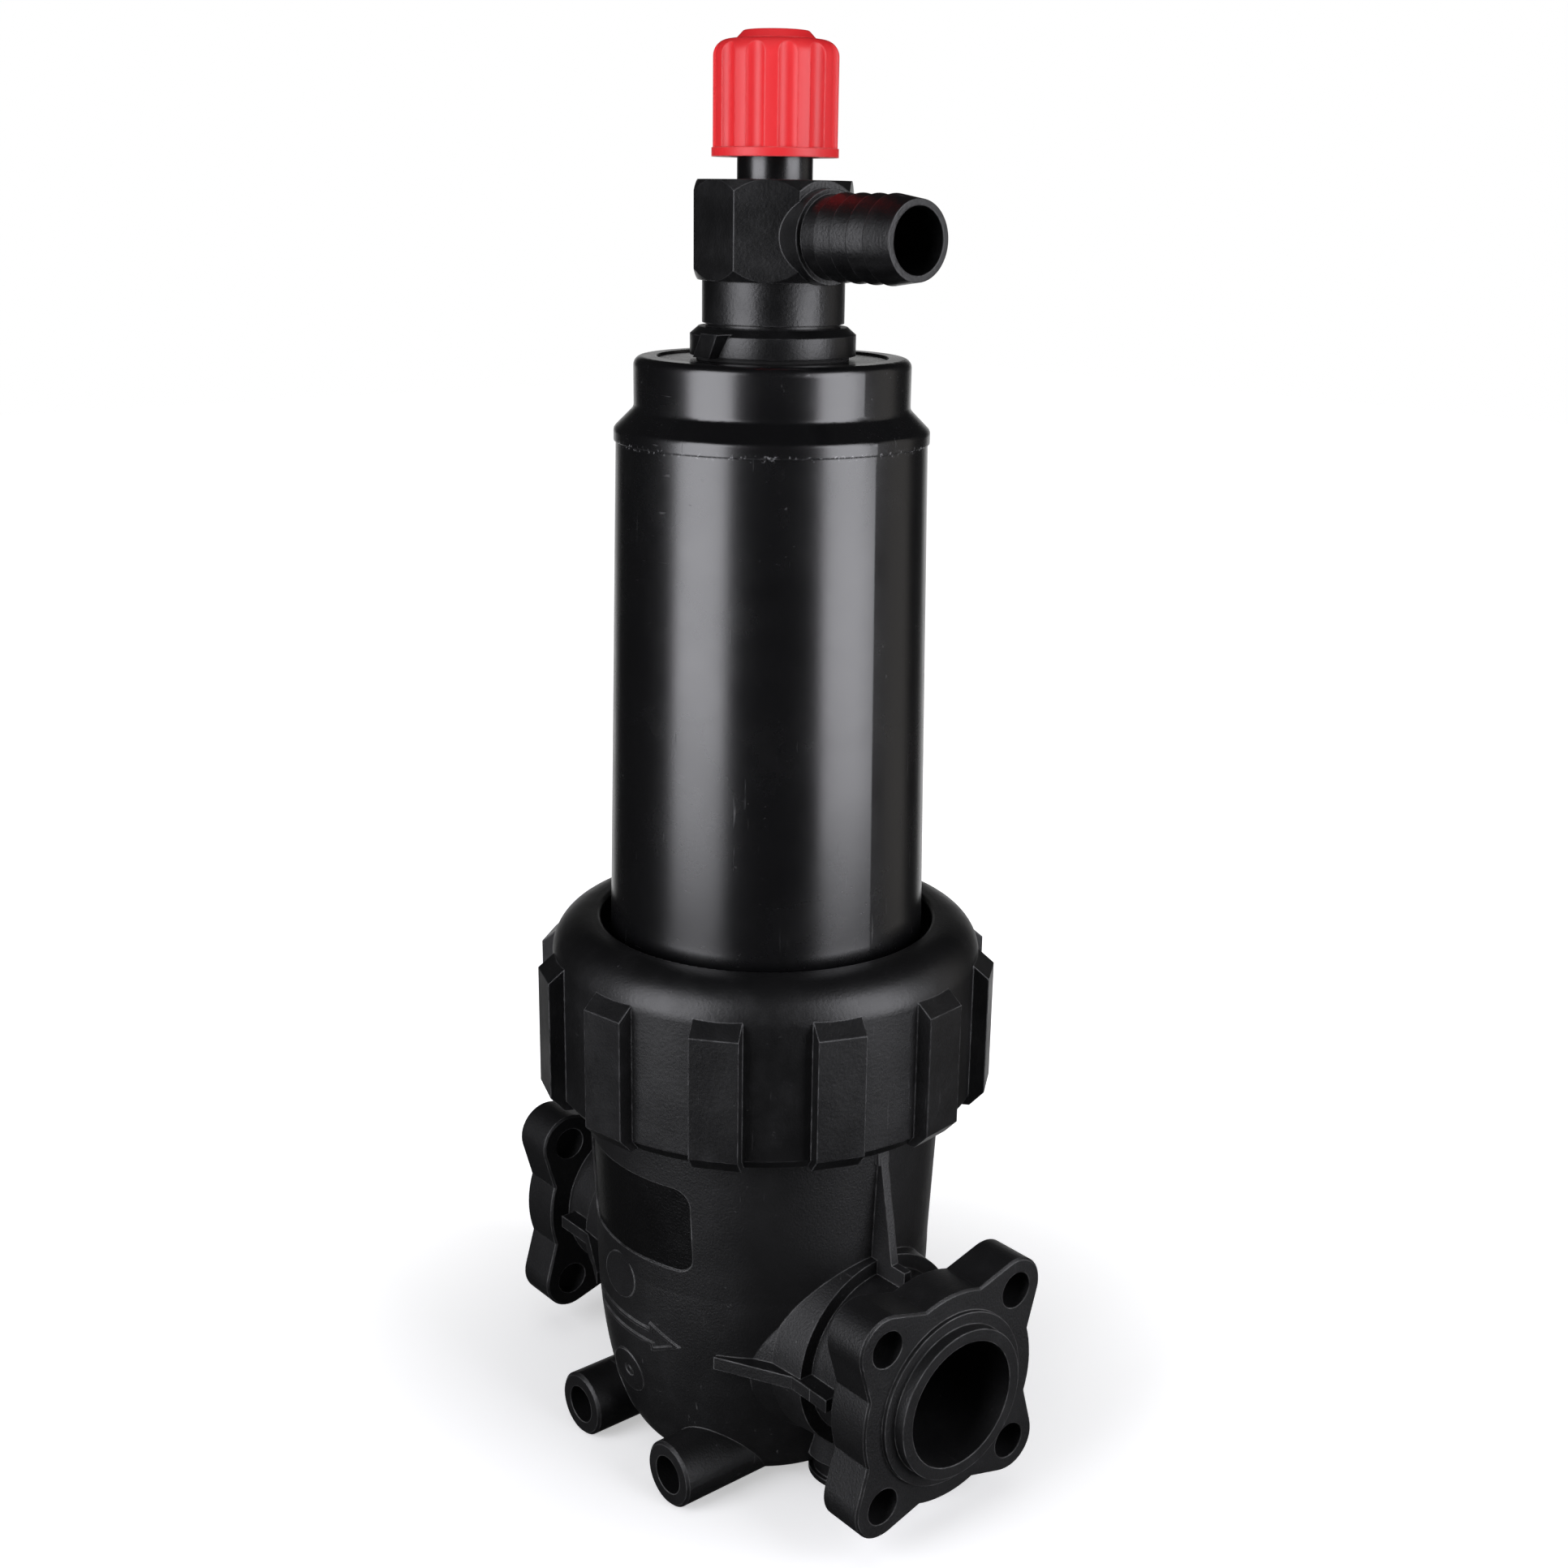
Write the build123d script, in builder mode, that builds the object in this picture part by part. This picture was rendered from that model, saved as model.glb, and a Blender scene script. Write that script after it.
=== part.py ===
from build123d import *
import os

# Pressure filter in its inverted position: flanged head below, long bowl above, flush valve on top.
# Millimetres. +Z is up along the filter axis, +X runs out of the outlet port.
# The origin is on the filter axis at the level that the two mounting tubes stand on.

os.makedirs("parts", exist_ok=True)

# Fits and turns
running_gap = 0.1
seated_gap = 0.1
free_gap = 0.3
overcut = 5.0
full_turn = 360
quarter_turn = 90

# Mounting tubes under the head
tube_r = 10.0
tube_hole_r = 5.8
tube_half_length = 53.8
tube_x = 22.9
tube_edge = 0.8

# Ports, necks and flanges
port_above_tubes = 36.8
port_bore_r = 19.1
port_bore_depth = 30.0
port_core_r = 18.4
neck_r = 25.7
pad_r = 30.0
pad_foot_r = 31.0
pad_foot_x = 43.0
pad_skirt_r = 34.5
pad_root_x = 37.0
pad_end_x = 54.5
flange_thickness = 14.5
flange_face_x = 85.2
flange_disc_r = 32.7
flange_lobes = 4
flange_lobe_r = 9.8
flange_waist = 28.0
flange_edge = 0.6
bolt_spacing = 50.0
inlet_bolt_hole_r = 5.25
outlet_bolt_hole_r = 5.5
step_r = 26.3
step_height = 1.4
spigot_r = 22.7
spigot_height = 4.8

# Upright fins and level webs beside the necks
fin_thickness = 2.6
fin_end_x = 66.1
fin_knee_x = 60.6
fin_top_x = 54.2
fin_root_x = 42.0
fin_drop = 8.0
fin_head_height = 5.3
fin_head_lean = 0.6
web_thickness = 4.0
web_reach = 31.0
web_end_x = 67.0
web_bend_x = 52.0
web_root_x = 30.0
web_root_y = 42.4

# Head cup
head_foot_r = 35.0
head_foot_z = 2.3
head_waist_r = 51.5
head_waist_rise = 20.0
head_shoulder_r = 53.7
head_shoulder_rise = 66.0
head_thread_r = 57.4
head_step_height = 5.2
head_thread_height = 36.8
head_wall = 4.5
floor_bend_r = 38.0
floor_side_r = 44.0
floor_side_rise = 9.0
floor_above_tubes = 1.5
floor_thickness = 4.0
foot_wall = 4.0
core_top_r = 39.0

# Standpipe and inlet duct inside the head
standpipe_r = 27.0
standpipe_wall = 4.5
duct_wall = 4.0

# Gauge boss and its plug under the outlet neck
gauge_x = 44.0
gauge_boss_r = 14.5
gauge_thread_r = 8.6
gauge_thread_depth = 9.0
gauge_hole_r = 3.0
plug_lip_r = 13.0
plug_lip_height = 2.4
plug_barrel_r = 11.6
plug_barrel_height = 5.4
plug_bottom_z = 0.8
plug_slot_width = 2.4
plug_slot_length = 19.0
plug_edge = 0.6
plug_play = 0.4
plug_washer = 1.2

# Moulded marks on the side of the head: bare sunk panel, raised discs and flow arrow
mark_depth = 0.5
panel_half_width = 24.5
panel_low_rise = 27.5
panel_height = 27.0
panel_corner_r = 5.0
disc_r = 7.2
disc_x = -3.7
disc_high_rise = 17.1
disc_low_drop = 16.6
disc_lean = 10.0
disc_stand = 0.15
disc_depth = 3.0
disc_ring_r = 2.0
disc_ring_width = 0.8
disc_ring_depth = 0.3
arrow_rise_above_port = 1.7
arrow_half_length = 20.0
arrow_head_length = 10.5
arrow_head_half = 5.0
arrow_tail_half = 2.8
arrow_stroke = 1.1
arrow_stand = 0.5

# Ring nut
nut_bottom_rise = 2.7
nut_top_rise = 7.9
nut_r = 63.5
nut_mouth_gap = 2.94
nut_round = 11.0
nut_foot_r = 61.0
nut_foot_height = 3.1
nut_mouth_round = 1.2
rib_count = 12
rib_angle = 9.0
rib_width = 14.0
rib_reach = 67.8
rib_low_rise = 4.5
rib_high_drop = 13.4
rib_run_out = 4.5
rib_foot_r = 63.6
rib_sink = 1.2

# Bowl
foot_r = 57.0
foot_height = 6.5
foot_fillet = 1.6
edge_match = 0.05
bowl_low_r = 46.26
bowl_high_r = 43.33
bowl_length = 146.9
bowl_wall = 4.6
bowl_lip_r = 43.9
bowl_lip_height = 3.25
bowl_lip_round = 1.5
collar_r = 38.3
collar_foot_round = 1.8
collar_rise = 22.7
collar_round = 2.5
recess_r = 32.0
recess_depth = 0.6
core_corner_drop = 3.0
collar_core_drop = 5.9
inner_spigot_r = 21.0
inner_spigot_wall = 4.5
inner_spigot_drop = 18.2
end_wall_drop = 1.2
socket_r = 16.2
socket_rise = 7.0
seal_seat_r = 53.3
seal_groove_width = 3.2
seal_groove_depth = 2.8

# Cartridge
cage_r = 33.6
cage_rib_depth = 2.9
cage_rib_width = 4.2
cage_rib_play = 0.2
cage_rib_count = 6
cage_hoop_count = 7
cage_hoop_height = 3.0
cage_skirt = 10.0
cage_base_height = 6.0
cage_cap_drop = 2.0
groove_inset = 3.0
groove_height = 3.0
groove_depth = 2.4
seal_play = 0.05
screen_wall = 0.8
screen_rows = 20
screen_slot_height = 4.6
screen_slot_width = 20.0

# Flush valve
lock_ring_r = 22.8
lock_ring_height = 5.5
lock_cone_r = 20.5
lock_cone_height = 2.0
gasket_r = 21.0
gasket_thickness = 1.2
lug_left_x = -2.5
lug_width = 7.0
lug_lean = 3.5
lug_height = 6.4
lug_reach = 25.6
lug_sink = 3.0
valve_stub_r = 16.0
valve_stub_gap = 2.0
valve_groove_r = 18.5
valve_groove_height = 1.0
valve_neck_r = 19.5
valve_neck_height = 11.3
octagon_across = 41.6
octagon_sides = 8
octagon_height = 26.0
octagon_cone_height = 2.9
octagon_corner_r = 22.5
flush_bore_r = 8.0
seat_rise = 2.7
chamber_r = 12.6

# Hose tail
tail_rise = 11.7
tail_boss_r = 12.3
tail_boss_x = 24.0
tail_root_r = 10.9
tail_end_x = 57.0
tail_tip_r = 10.2
tail_bore_r = 8.5
barb_count = 4
barb_crest_r = 11.4
barb_trough_r = 10.3
barb_start_x = 28.5
barb_pitch = 6.3
barb_rise = 1.0

# Bonnet, spindle and shutter
bonnet_plug_depth = 7.9
bonnet_seal_width = 1.6
bonnet_seal_height = 1.6
bonnet_edge = 0.6
bonnet_r = 10.2
bonnet_height = 14.7
bonnet_thread_rise = 1.2
spindle_r = 4.0
spindle_thread_r = 5.2
spindle_thread_play = 1.5
spindle_thread_end = 1.0
spindle_square = 5.6
spindle_button_r = 5.0
spindle_button_height = 2.6
gland_r = 6.2
gland_rise = 2.6
gland_height = 2.3
shutter_r = 10.8
shutter_facing = 1.4
facing_hole_r = 4.0
shutter_disc = 3.0
shutter_hub_r = 7.4
shutter_hub_rise = 8.6
shutter_pocket_rise = 2.8
shutter_pocket_height = 3.4

# Knob
knob_overlap = 8.9
knob_height = 29.5
knob_ring_r = 17.05
knob_ring_height = 2.3
knob_r = 16.7
knob_shoulder_round = 4.2
knob_flutes = 12
knob_flute_angle = 1.7
knob_flute_depth = 1.25
knob_flute_r = 3.7
knob_cavity_r = 12.2
knob_lift_room = 3.0
knob_pocket_r = 8.2
knob_pocket_depth = 9.0
cap_base_r = 10.9
cap_top_r = 8.7
cap_height = 2.3
cap_round = 0.8
cap_plug_depth = 3.0
cap_plug_wall = 1.4
screw_head_r = 4.4
screw_head_height = 2.8
screw_r = 1.9
screw_length = 9.0
screw_slot = 1.0
screw_head_round = 0.8
screw_end_play = 1.0

# Levels and radii of the head
port_z = tube_r + port_above_tubes
flange_back_x = flange_face_x - flange_thickness
spigot_end_x = flange_face_x + spigot_height
head_waist_z = port_z + head_waist_rise
head_shoulder_z = port_z + head_shoulder_rise
head_thread_z = head_shoulder_z + head_step_height
head_rim_z = head_thread_z + head_thread_height
floor_z = 2 * tube_r + floor_above_tubes
boss_bottom_z = plug_bottom_z + plug_lip_height + plug_barrel_height + plug_washer
panel_z = port_z + panel_low_rise + panel_height / 2
arrow_z = port_z + arrow_rise_above_port

# Levels and radii of the nut and the bowl
foot_top_z = head_rim_z + foot_height
nut_bore_r = head_thread_r + free_gap
nut_hole_r = bowl_low_r + nut_mouth_gap
nut_bottom_z = head_shoulder_z + nut_bottom_rise
nut_top_z = foot_top_z + nut_top_rise
rib_high_z = nut_top_z - rib_high_drop
rib_end_z = rib_high_z + rib_run_out
bowl_seam_z = foot_top_z + bowl_length
bowl_lip_z = bowl_seam_z + bowl_lip_height
collar_foot_z = bowl_lip_z + bowl_lip_r - collar_r
collar_top_z = bowl_seam_z + collar_rise
collar_core_r = collar_r - bowl_wall
collar_core_z = collar_top_z - collar_core_drop
end_wall_z = bowl_seam_z - end_wall_drop
inner_spigot_z = bowl_seam_z - inner_spigot_drop
socket_floor_z = end_wall_z + socket_rise
recess_floor_z = collar_top_z - recess_depth

# Levels and radii of the cartridge
cage_bottom_z = head_thread_z - cage_skirt
cage_base_z = head_thread_z + cage_base_height
cage_cap_z = inner_spigot_z - cage_cap_drop
cage_top_z = inner_spigot_z + cage_skirt
cage_inner_r = cage_r - cage_rib_depth
screen_r = cage_inner_r - seated_gap
lower_groove_z = cage_bottom_z + groove_inset
upper_groove_z = cage_top_z - groove_inset - groove_height
upper_seat_r = inner_spigot_r + free_gap

# Levels and radii of the flush valve and the knob
lock_ring_z = recess_floor_z + gasket_thickness
lock_cone_z = lock_ring_z + lock_ring_height
lock_top_z = lock_cone_z + lock_cone_height
valve_stub_z = socket_floor_z + valve_stub_gap
valve_neck_z = lock_top_z + valve_groove_height
octagon_low_z = valve_neck_z + valve_neck_height
octagon_high_z = octagon_low_z + octagon_height
seat_z = octagon_low_z + seat_rise
tail_z = octagon_low_z + tail_rise
bonnet_plug_z = octagon_high_z - bonnet_plug_depth
bonnet_plug_r = chamber_r - seated_gap
bonnet_thread_z = octagon_high_z + bonnet_thread_rise
bonnet_top_z = octagon_high_z + bonnet_height
gland_low_z = bonnet_plug_z + gland_rise
shutter_pocket_z = seat_z + shutter_pocket_rise
shutter_hub_z = seat_z + shutter_hub_rise
spindle_button_z = shutter_pocket_z + free_gap
knob_bottom_z = bonnet_top_z - knob_overlap
knob_shoulder_z = knob_bottom_z + knob_height
knob_cavity_z = bonnet_top_z + knob_lift_room
knob_pocket_z = knob_shoulder_z - knob_pocket_depth
spindle_top_z = knob_pocket_z - seated_gap
spindle_thread_low_z = bonnet_thread_z + spindle_thread_play
spindle_thread_high_z = bonnet_top_z - spindle_thread_end


def ring_section(inner, outer, low, high):
    """Rectangle of a ring's section, from its inner to its outer radius and from low to high."""
    with Locations((inner, low)):
        Rectangle(outer - inner, high - low, align=(Align.MIN, Align.MIN))


# Flange outline: a central disc and four lobes round the bolt holes
with BuildSketch() as flange_lobe:
    with Locations((bolt_spacing / 2, bolt_spacing / 2)):
        Circle(flange_lobe_r)
    with BuildLine():
        Polyline((0, 0), (flange_waist, 0), (0, flange_waist), close=True)
    make_hull()

with BuildSketch() as flange_outline:
    Circle(flange_disc_r)
    for turn in range(flange_lobes):
        add(flange_lobe.sketch.rotate(Axis.Z, turn * full_turn / flange_lobes))

def cup_section(growth):
    """Half section of the head's cup below the thread, with its side moved out by growth."""
    with BuildSketch(Plane.XZ) as section:
        with BuildLine():
            Line((0, head_foot_z), (head_foot_r + growth, head_foot_z))
            side_wall = EllipticalCenterArc(
                (head_foot_r + growth, head_waist_z),
                head_waist_r - head_foot_r,
                head_waist_z - head_foot_z,
                start_angle=-quarter_turn,
                arc_size=quarter_turn,
            )
            Polyline(
                side_wall @ 1,
                (head_shoulder_r + growth, head_shoulder_z),
                (head_shoulder_r + growth, head_thread_z),
                (0, head_thread_z),
                (0, head_foot_z),
            )
        make_face()
    return section.sketch


def cup_radius(level):
    """Outer radius of the cup at a level below its waist."""
    drop = (head_waist_z - level) / (head_waist_z - head_foot_z)
    return head_foot_r + (head_waist_r - head_foot_r) * (1 - drop**2) ** 0.5


# Marks on the head's side: sunk name panel, raised flat discs and outline arrow
with BuildPart() as sunk_panel:
    with BuildSketch(Plane.XZ.offset(head_foot_r)):
        with Locations((0, panel_z)):
            RectangleRounded(2 * panel_half_width, panel_height, panel_corner_r)
    extrude(amount=head_shoulder_r - head_foot_r + overcut)
    revolve(cup_section(-mark_depth), axis=Axis.Z, mode=Mode.SUBTRACT)

with BuildPart() as raised_discs:
    disc_rows = ((port_z + disc_high_rise, 0, False), (port_z - disc_low_drop, disc_lean, True))
    for disc_z, lean, ringed in disc_rows:
        face_y = -cup_radius(disc_z) - disc_stand
        face_location = Location((disc_x, face_y, disc_z), (quarter_turn + lean, 0, 0))
        with BuildSketch(Plane(face_location)):
            Circle(disc_r)
        extrude(amount=-disc_depth)
        if ringed:
            with BuildSketch(Plane(face_location)):
                Circle(disc_ring_r)
                Circle(disc_ring_r - disc_ring_width, mode=Mode.SUBTRACT)
            extrude(amount=-disc_ring_depth, mode=Mode.SUBTRACT)

with BuildPart() as raised_arrow:
    with BuildSketch(Plane.XZ.offset(head_foot_r)):
        with BuildLine():
            head_x = arrow_half_length - arrow_head_length
            Polyline(
                (-arrow_half_length, arrow_z - arrow_tail_half),
                (head_x, arrow_z - arrow_tail_half),
                (head_x, arrow_z - arrow_head_half),
                (arrow_half_length, arrow_z),
                (head_x, arrow_z + arrow_head_half),
                (head_x, arrow_z + arrow_tail_half),
                (-arrow_half_length, arrow_z + arrow_tail_half),
                close=True,
            )
        make_face()
        offset(amount=-arrow_stroke, kind=Kind.INTERSECTION, mode=Mode.SUBTRACT)
    extrude(amount=head_shoulder_r - head_foot_r)
    revolve(cup_section(arrow_stand), axis=Axis.Z, mode=Mode.INTERSECT)

# Flange plate and mounting tube with their edges broken
with BuildPart() as flange_plate:
    with BuildSketch():
        add(flange_outline.sketch)
    extrude(amount=flange_thickness)
    chamfer(flange_plate.edges().group_by(Axis.Z)[0] + flange_plate.edges().group_by(Axis.Z)[-1], flange_edge)

with BuildPart() as mounting_tube:
    with BuildSketch(Plane.XZ.offset(-tube_half_length)):
        with Locations((0, tube_r)):
            Circle(tube_r)
    extrude(amount=2 * tube_half_length)
    chamfer(mounting_tube.edges().group_by(Axis.Y)[0] + mounting_tube.edges().group_by(Axis.Y)[-1], tube_edge)

# Filter head: one moulding with two flanged ports, webs, mounting tubes, gauge boss and standpipe
with BuildPart() as filter_head:
    revolve(cup_section(0), axis=Axis.Z)
    with BuildSketch(Plane.XZ):
        Polygon(
            (0, head_thread_z),
            (head_shoulder_r, head_thread_z),
            (head_thread_r, head_thread_z + head_thread_r - head_shoulder_r),
            (head_thread_r, head_rim_z),
            (0, head_rim_z),
            align=None,
        )
    revolve(axis=Axis.Z)
    add(raised_arrow.part)
    add(raised_discs.part)

    for side in (1, -1):
        port_plane = Plane(origin=(0, 0, port_z), x_dir=(0, side, 0), z_dir=(side, 0, 0))
        # Round pad at the root of the neck, with a skirt where it meets the cup
        with BuildSketch(Plane.XZ):
            Polygon(
                (side * pad_root_x, port_z),
                (side * pad_root_x, port_z + pad_skirt_r),
                (side * pad_foot_x, port_z + pad_foot_r),
                (side * pad_end_x, port_z + pad_r),
                (side * pad_end_x, port_z),
                align=None,
            )
        revolve(axis=Axis(origin=(0, 0, port_z), direction=(1, 0, 0)))
        with BuildSketch(port_plane.offset(pad_root_x)):
            Circle(neck_r)
        extrude(amount=flange_back_x - pad_root_x)
        add(flange_plate.part.moved(port_plane.offset(flange_back_x).location))
        with BuildSketch(port_plane.offset(flange_face_x)):
            Circle(step_r)
        extrude(amount=step_height)
        with BuildSketch(port_plane.offset(flange_face_x)):
            Circle(spigot_r)
        extrude(amount=spigot_height)

        # Upright fin above and below the neck, with a thicker head under the shoulder
        with BuildSketch(Plane.XZ.offset(-fin_thickness / 2)):
            Polygon(
                (side * fin_end_x, port_z - web_reach),
                (side * fin_end_x, port_z + web_reach),
                (side * fin_knee_x, port_z + web_reach),
                (side * fin_top_x, head_shoulder_z),
                (side * fin_root_x, head_shoulder_z),
                (side * fin_root_x, port_z - web_reach - fin_drop),
                (side * fin_knee_x, port_z - web_reach),
                align=None,
            )
        extrude(amount=fin_thickness)
        with BuildSketch(Plane.XZ.offset(-web_thickness / 2)):
            Polygon(
                (side * fin_root_x, head_shoulder_z - fin_head_height),
                (side * (fin_top_x + fin_head_lean), head_shoulder_z - fin_head_height),
                (side * fin_top_x, head_shoulder_z),
                (side * fin_root_x, head_shoulder_z),
                align=None,
            )
        extrude(amount=web_thickness)
        # Level webs on both sides of the neck
        with BuildSketch(Plane.XY.offset(port_z - web_thickness / 2)):
            for flank in (1, -1):
                Polygon(
                    (side * web_end_x, 0),
                    (side * web_end_x, flank * web_reach),
                    (side * web_bend_x, flank * web_reach),
                    (side * web_root_x, flank * web_root_y),
                    (side * web_root_x, 0),
                    align=None,
                )
        extrude(amount=web_thickness)

    # Gauge boss under the outlet neck
    with BuildSketch(Plane.XY.offset(boss_bottom_z)):
        with Locations((gauge_x, 0)):
            Circle(gauge_boss_r)
    extrude(amount=port_z - boss_bottom_z)

    # Cavity that the filtered liquid runs down into
    with BuildSketch(Plane.XZ):
        with BuildLine():
            Polyline(
                (0, floor_z),
                (floor_bend_r, floor_z),
                (floor_side_r, floor_z + floor_side_rise),
                (head_waist_r - head_wall, head_waist_z),
                (head_shoulder_r - head_wall, head_shoulder_z),
                (head_shoulder_r - head_wall, head_rim_z),
                (0, head_rim_z),
                close=True,
            )
        make_face()
    revolve(axis=Axis.Z, mode=Mode.SUBTRACT)

    # Standpipe up to the cartridge and the inlet duct that feeds it
    with BuildSketch(Plane.XY.offset(floor_z)):
        Circle(standpipe_r)
    extrude(amount=head_thread_z - floor_z)
    inlet_plane = Plane(origin=(0, 0, port_z), x_dir=(0, -1, 0), z_dir=(-1, 0, 0))
    outlet_plane = Plane(origin=(0, 0, port_z), x_dir=(0, 1, 0), z_dir=(1, 0, 0))
    with BuildSketch(inlet_plane):
        Circle(port_core_r + duct_wall)
    extrude(amount=fin_root_x + head_wall)
    with BuildSketch(Plane.XY.offset(floor_z)):
        Circle(standpipe_r - standpipe_wall)
    extrude(amount=head_thread_z - floor_z, mode=Mode.SUBTRACT)

    # Port bores and bolt holes
    ports = (
        (inlet_plane, 0, inlet_bolt_hole_r),
        (outlet_plane, standpipe_r + overcut, outlet_bolt_hole_r),
    )
    for plane, core_start, bolt_hole_r in ports:
        with BuildSketch(plane.offset(core_start)):
            Circle(port_core_r)
        extrude(amount=spigot_end_x - core_start, mode=Mode.SUBTRACT)
        with BuildSketch(plane.offset(spigot_end_x - port_bore_depth)):
            Circle(port_bore_r)
        extrude(amount=port_bore_depth, mode=Mode.SUBTRACT)
        with BuildSketch(plane.offset(flange_back_x)):
            with GridLocations(bolt_spacing, bolt_spacing, 2, 2):
                Circle(bolt_hole_r)
        extrude(amount=flange_thickness, mode=Mode.SUBTRACT)

    # Hollow underside between the mounting tubes
    with BuildSketch(Plane.XZ):
        with BuildLine():
            Polyline(
                (0, head_foot_z),
                (head_foot_r - foot_wall, head_foot_z),
                (core_top_r, floor_z - floor_thickness),
                (0, floor_z - floor_thickness),
                close=True,
            )
        make_face()
    revolve(axis=Axis.Z, mode=Mode.SUBTRACT)
    for side in (1, -1):
        add(mounting_tube.part.moved(Location((side * tube_x, 0, 0))))
    with BuildSketch(Plane.XZ.offset(-tube_half_length)):
        with Locations((tube_x, tube_r), (-tube_x, tube_r)):
            Circle(tube_hole_r)
    extrude(amount=2 * tube_half_length, mode=Mode.SUBTRACT)

    # Room for the plug, its threaded hole and the passage to the outlet bore
    lip_top_z = plug_bottom_z + plug_lip_height + plug_play
    rooms = ((plug_lip_r + plug_play, lip_top_z), (plug_barrel_r + plug_play, boss_bottom_z))
    for room_r, room_top_z in rooms:
        with BuildSketch(Plane.XY):
            with Locations((gauge_x, 0)):
                Circle(room_r)
        extrude(amount=room_top_z, mode=Mode.SUBTRACT)
    with BuildSketch(Plane.XY.offset(boss_bottom_z)):
        with Locations((gauge_x, 0)):
            Circle(gauge_thread_r)
    extrude(amount=gauge_thread_depth, mode=Mode.SUBTRACT)
    with BuildSketch(Plane.XY.offset(boss_bottom_z)):
        with Locations((gauge_x, 0)):
            Circle(gauge_hole_r)
    extrude(amount=port_z - boss_bottom_z, mode=Mode.SUBTRACT)

    # Groove for the bowl seal in the rim
    with BuildSketch(Plane.XZ):
        with Locations((seal_seat_r, head_rim_z - seal_groove_depth / 2)):
            Rectangle(seal_groove_width, seal_groove_depth)
    revolve(axis=Axis.Z, mode=Mode.SUBTRACT)
    add(sunk_panel.part, mode=Mode.SUBTRACT)
filter_head.part.label = "filter_head"
export_step(filter_head.part, "parts/filter_head.step")

# Plug of the gauge boss, with a lip and a coin slot
with BuildPart() as gauge_plug:
    with BuildSketch(Plane.XY.offset(plug_bottom_z)):
        with Locations((gauge_x, 0)):
            Circle(plug_lip_r)
    extrude(amount=plug_lip_height)
    chamfer(gauge_plug.edges().group_by(Axis.Z)[0], plug_edge)
    with BuildSketch(Plane.XY.offset(plug_bottom_z)):
        with Locations((gauge_x, 0)):
            Circle(plug_barrel_r)
    extrude(amount=plug_lip_height + plug_barrel_height)
    with BuildSketch(Plane.XY.offset(boss_bottom_z - plug_washer)):
        with Locations((gauge_x, 0)):
            Circle(gauge_thread_r - seated_gap)
    extrude(amount=plug_washer + gauge_thread_depth - free_gap)
    with BuildSketch(Plane.XY.offset(plug_bottom_z)):
        with Locations((gauge_x, 0)):
            Rectangle(plug_slot_length, plug_slot_width)
    extrude(amount=plug_lip_height, mode=Mode.SUBTRACT)
gauge_plug.part.label = "gauge_plug"
export_step(gauge_plug.part, "parts/gauge_plug.step")

# Washer seal between the plug and the gauge boss
with BuildPart() as gauge_plug_seal:
    with BuildSketch(Plane.XY.offset(boss_bottom_z - plug_washer)):
        with Locations((gauge_x, 0)):
            Circle(plug_barrel_r - seated_gap)
            Circle(gauge_thread_r, mode=Mode.SUBTRACT)
    extrude(amount=plug_washer)
gauge_plug_seal.part.label = "gauge_plug_seal"
export_step(gauge_plug_seal.part, "parts/gauge_plug_seal.step")

# One grip rib of the ring nut, with a sloping top and a chamfered foot
with BuildPart() as nut_rib:
    with BuildSketch(Plane.XZ.offset(-rib_width / 2)):
        Polygon(
            (nut_foot_r - rib_sink, nut_bottom_z),
            (rib_foot_r, nut_bottom_z),
            (rib_reach, nut_bottom_z + rib_low_rise),
            (rib_reach, rib_high_z),
            (nut_r - rib_sink, rib_end_z),
            (nut_foot_r - rib_sink, rib_end_z),
            align=None,
        )
    extrude(amount=rib_width)

# Ring nut with a round shoulder and twelve ribs that run out on it
with BuildPart() as ring_nut:
    with BuildSketch(Plane.XZ) as nut_section:
        with BuildLine():
            Polyline(
                (nut_bore_r, nut_bottom_z),
                (nut_foot_r, nut_bottom_z),
                (nut_r, nut_bottom_z + nut_foot_height),
                (nut_r, nut_top_z),
                (nut_hole_r, nut_top_z),
                (nut_hole_r, foot_top_z),
                (nut_bore_r, foot_top_z),
                close=True,
            )
        make_face()
        fillet(nut_section.vertices().group_by(Axis.Y)[-1].sort_by(Axis.X)[-1], nut_round)
        fillet(nut_section.vertices().group_by(Axis.Y)[-1].sort_by(Axis.X)[0], nut_mouth_round)
    revolve(axis=Axis.Z)
    for number in range(rib_count):
        add(nut_rib.part.rotate(Axis.Z, rib_angle + number * full_turn / rib_count))
ring_nut.part.label = "ring_nut"
export_step(ring_nut.part, "parts/ring_nut.step")

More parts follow.
